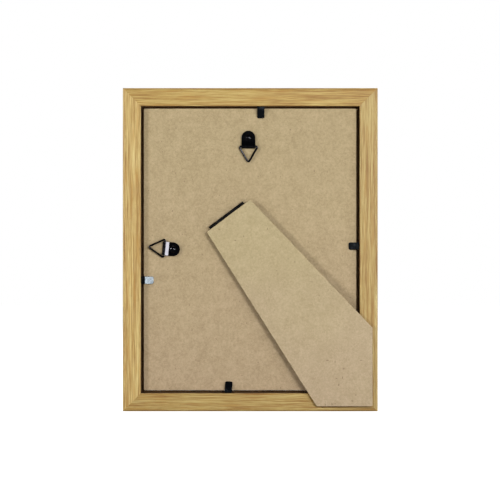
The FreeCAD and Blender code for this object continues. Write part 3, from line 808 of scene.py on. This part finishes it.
# Place on the wall across and up, way inwards, skew in degrees, and reach
tab_places = {
    "top": ((7.392 * mm, mid_height + half_opening_height), (0, 0, -1), 0.0, 8.3 * mm),
    "bottom": ((-15.554 * mm, mid_height - half_opening_height), (0, 0, 1), 4.0, 8.051 * mm),
    "left": ((-half_opening_width, 92.288 * mm), (1, 0, 0), 1.0, 8.715 * mm),
    "right": ((half_opening_width, 116.326 * mm), (-1, 0, 0), -1.0, 7.636 * mm),
}
out_of_board = Vector((0, -1, 0))
for side, ((x, z), inward, skew_deg, reach) in tab_places.items():
    along = Quaternion((0, 1, 0), math.radians(skew_deg)) @ Vector(inward)
    line = bent([(tab_hinge_out - tab_thickness / 2, 0, tab_height), (tab_bend_out, 0, tab_height),
                 (reach, 0, tab_tip_height)], [0, tab_bend_radius, 0], 12)
    tab = grown("tongue_" + side, thread("tongue", line), bent_strip, {
        "Width": tab_width, "Thickness": tab_thickness, "Edge Radius": tab_edge_radius,
        "Far End": reach + past_tip, "Far Corner": tab_corner_radius, "Steps": 90,
        "Place": (x, board_back, z), "Turn": turn_of(along, out_of_board), "Finish": spring_steel})
    finished(tab, side + "_tab", "black_steel", "tab_" + side)
    dressed("tab_" + side + "_blade", spring_steel)


# Hangers.
# Each is a black enamelled strap folded round a triangle of wire, and one domed rivet holds it to the board.
# One hangs at the top edge and one at the left, so that the frame hangs either way.

enamel_peel = 0.001 * mm
black_enamel, tree, shader = new_material("black_enamel", Specular_IOR_Level=0.5,
                                          Specular_Tint=(0.93, 0.9, 1.0, 1))
point = object_millimetres(tree)
worn = using(tree, rubbed, {"Point": point, "Amount": 0.5})
peel = noise(tree, point, (0.7, 0.7, 0.7), 1)
tree.links.new(mixed(tree, worn["Dust"], screen(3, 3, 5), screen(92, 90, 88)), shader["Base Color"])
tree.links.new(sums(tree, "MULTIPLY_ADD", worn["Dull"], 0.08, 0.11), shader["Roughness"])
raised(tree, shader, peel, enamel_peel)

strap_width = 9.8 * mm
strap_thickness = 0.8 * mm
strap_low = 0.45 * mm
strap_high = 1.31 * mm
ring_out = 6.0 * mm
ring_height = 1.65 * mm
loop_radius = 1.2 * mm
slope_start = 3.007 * mm
slope_deg = 29.96
side_tilt = math.radians(5.7)
# The rivet's place on the board, and the way to the ring
hanger_seats = {
    "top": (Vector((-1.3 * mm, board_back, 192.55 * mm)), Vector((0, 0, -1))),
    "side": (Vector((-54.45 * mm, board_back, 114.0 * mm)),
             Vector((-math.cos(side_tilt), 0, math.sin(side_tilt)))),
}

tree, given, result = new_tree("wire_ring", [
    ("Wire Radius", "Float", 0.0007), ("Place", "Vector", (0, 0, 0)), ("Turn", "Rotation", (0, 0, 0)),
    ("Finish", "Material", None)])
wire_ring = tree
path = put(tree, "GeometryNodeMeshToCurve", {"Mesh": given["Geometry"]}).outputs[0]
wire_end = put(tree, "GeometryNodeCurvePrimitiveCircle", {"Resolution": 20,
                                                          "Radius": given["Wire Radius"]}).outputs[0]
ring = put(tree, "GeometryNodeCurveToMesh", {"Curve": path, "Profile Curve": wire_end,
                                             "Fill Caps": True}).outputs[0]
ring = put(tree, "GeometryNodeSetShadeSmooth", {"Geometry": ring, "Shade Smooth": True}).outputs[0]
ring = placed(tree, ring, given, ())
ring = put(tree, "GeometryNodeSetMaterial", {"Geometry": ring, "Material": given["Finish"]}).outputs[0]
tree.links.new(ring, result.inputs[0])

tree, given, result = new_tree("turned_rivet", [
    ("Sides", "Int", 48), ("Place", "Vector", (0, 0, 0)), ("Turn", "Rotation", (0, 0, 0)),
    ("Finish", "Material", None)])
turned_rivet = tree
wheel_radius = 0.01  # any size will do, since the points are set anew
on_axis = 0.0005 * mm
profile = put(tree, "GeometryNodeMeshToCurve", {"Mesh": given["Geometry"]}).outputs[0]
profile = stored(tree, profile, "outline", put(tree, "GeometryNodeInputPosition").outputs[0], "FLOAT_VECTOR")
wheel = put(tree, "GeometryNodeCurvePrimitiveCircle", {"Resolution": given["Sides"],
                                                       "Radius": wheel_radius}).outputs[0]
share_round = sums(tree, "DIVIDE", put(tree, "GeometryNodeInputIndex").outputs[0], given["Sides"])
wheel = stored(tree, wheel, "angle", sums(tree, "MULTIPLY", share_round, 2 * math.pi))
head = put(tree, "GeometryNodeCurveToMesh", {"Curve": wheel, "Profile Curve": profile}).outputs[0]
outline = parts_of(tree, named(tree, "outline", "FLOAT_VECTOR"))
angle = named(tree, "angle")
head = put(tree, "GeometryNodeSetPosition", {"Geometry": head, "Position": joined(
    tree, sums(tree, "MULTIPLY", outline["X"], sums(tree, "COSINE", angle)),
    sums(tree, "MULTIPLY", outline["X"], sums(tree, "SINE", angle)), outline["Z"])}).outputs[0]
head = put(tree, "GeometryNodeMergeByDistance", {"Geometry": head, "Distance": on_axis}).outputs[0]
head = put(tree, "GeometryNodeSetShadeSmooth", {"Geometry": head, "Shade Smooth": True}).outputs[0]
head = placed(tree, head, given, ("outline", "angle"))
head = put(tree, "GeometryNodeSetMaterial", {"Geometry": head, "Material": given["Finish"]}).outputs[0]
tree.links.new(head, result.inputs[0])

strap_bend_radius = 1.2 * mm
strap_edge_radius = 0.16 * mm
loop_corner_radius = 1.2 * mm
loop_corner_overhang = 0.3 * mm
past_strap = 0.005 * mm
fold_out = ring_out + loop_radius
fold_rise = strap_high + (fold_out - slope_start) * math.tan(math.radians(slope_deg))
strap_line = bent([(-strap_width / 2, 0, strap_low), (fold_out, 0, strap_low), (fold_out, 0, fold_rise),
                   (slope_start, 0, strap_high), (-strap_width / 2, 0, strap_high)],
                  [0, loop_radius, loop_radius, strap_bend_radius, 0], 24)

wire_radius = 0.7 * mm
half_base = 6.702 * mm
half_apex = math.radians(30)
ring_corner_radius = 0.95 * mm
ring_reach = half_base / math.tan(half_apex)
ring_gap = 0.3 * mm
ring_line = bent([(0, ring_gap / 2, 0), (0, half_base, 0), (ring_reach, 0, 0), (0, -half_base, 0),
                  (0, -ring_gap / 2, 0)],
                 [0, ring_corner_radius, ring_corner_radius, ring_corner_radius, 0], arc_steps)

head_radius = 2.4 * mm
head_base = 1.76 * mm
head_top = 3.06 * mm
head_rim = 0.25 * mm
shank_radius = 1.5 * mm
shank_end = -1.9 * mm
tail_radius = 2.5 * mm
tail_start = -2.1 * mm
board_thickness = 2.5 * mm
head_edge_radius = 0.05 * mm
head_foot_radius = 0.1 * mm
tail_edge_radius = 0.05 * mm
dome_steps = 14
crown = head_top - head_base - head_rim
dome_radius = (head_radius ** 2 + crown ** 2) / (2 * crown)
dome_turn = math.asin(head_radius / dome_radius)
rivet_line = [Vector((dome_radius * math.sin(dome_turn * step / dome_steps), 0,
                      head_top - dome_radius * (1 - math.cos(dome_turn * step / dome_steps))))
              for step in range(dome_steps)]
dome_way = (head_radius * 0.97, 0, head_base + head_rim * 1.2)  # how the dome comes down to its rim
rivet_line += bent(
    [dome_way, (head_radius, 0, head_base + head_rim),
     (head_radius, 0, head_base), (shank_radius, 0, head_base), (shank_radius, 0, shank_end),
     (tail_radius, 0, tail_start), (tail_radius, 0, -board_thickness), (0, 0, -board_thickness)],
    [0, head_edge_radius, head_foot_radius, 0, 0, 0, tail_edge_radius, 0], 4)[1:]
for side, (place, along) in hanger_seats.items():
    turn = turn_of(along, out_of_board)
    strap = grown("strap_" + side, thread("strap", strap_line), bent_strip, {
        "Width": strap_width, "Thickness": strap_thickness, "Edge Radius": strap_edge_radius,
        "Near End": -strap_width / 2 - past_strap, "Near Corner": strap_width / 2,
        "Far End": fold_out + strap_thickness / 2 + loop_corner_overhang,
        "Far Corner": loop_corner_radius, "Steps": 300,
        "Place": place, "Turn": turn, "Finish": black_enamel})
    finished(strap, side + "_hanger", "black_steel", "hanger_" + side + "_strap")
    ring_place = place + along * ring_out + out_of_board * ring_height
    ring = grown("ring_" + side, thread("ring", ring_line), wire_ring, {
        "Wire Radius": wire_radius, "Place": ring_place, "Turn": turn, "Finish": black_enamel})
    finished(ring, side + "_ring", "black_steel", "hanger_" + side + "_ring")
    rivet = grown("rivet_" + side, thread("rivet", rivet_line), turned_rivet, {
        "Sides": 56, "Place": place, "Turn": turn, "Finish": black_enamel})
    finished(rivet, "frame", "black_steel", "hanger_" + side + "_rivet")


# Strut hinge.
# Two stamped leaves of black enamelled steel, rolled round one pin in five knuckles.
# Prongs bent down from each leaf's far edge are driven into the board and into the leg.

paint_grain = 0.004 * mm
leaf_arris = 0.08 * mm
hinge_black, tree, shader = new_material("hinge_black", Specular_IOR_Level=0.14)
point = object_millimetres(tree)
worn = using(tree, rubbed, {"Point": point, "Amount": 0.8})
thin_paint = spread(tree, noise(tree, point, (0.5, 0.5, 0.5), 3), 0.62, 0.78)
colour = mixed(tree, thin_paint, screen(6, 6, 7), screen(30, 29, 30))
tree.links.new(mixed(tree, worn["Dust"], colour, screen(96, 90, 82)), shader["Base Color"])
tree.links.new(sums(tree, "MULTIPLY_ADD", worn["Dull"], 0.15,
                    sums(tree, "MULTIPLY_ADD", thin_paint, 0.1, 0.42)), shader["Roughness"])
raised(tree, shader, thin_paint, paint_grain)

dressed("hinge_pin", hinge_black)
for node, body in (("hinge_board_leaf", "frame"), ("hinge_leg_leaf", "leg")):
    leaf = softened(node.replace("hinge_", "") + "_plate", node, leaf_arris, 1)
    leaf.data.materials.append(hinge_black)
    finished(leaf, body, "black_steel", node)


# Easel leg.
# Fibreboard like the back's, sawn so that its foot follows the frame's corner, folded flat.
# It swings out on the hinge at its upper edge.

leg_light = screen(204, 187, 153)
leg_dark = screen(175, 157, 123)
leg_arris = 0.22 * mm
other_fibres = (340, 90, 210)  # millimetres from the board's pattern, so that the leg has its own
leg = softened("leg_board", "easel_leg", leg_arris, 2)
broad_and_cut(leg, fibreboard("leg_face", other_fibres, leg_light, leg_dark, 0, 140), cut_edge)
finished(leg, "leg", "leg_fibreboard", "easel_leg")
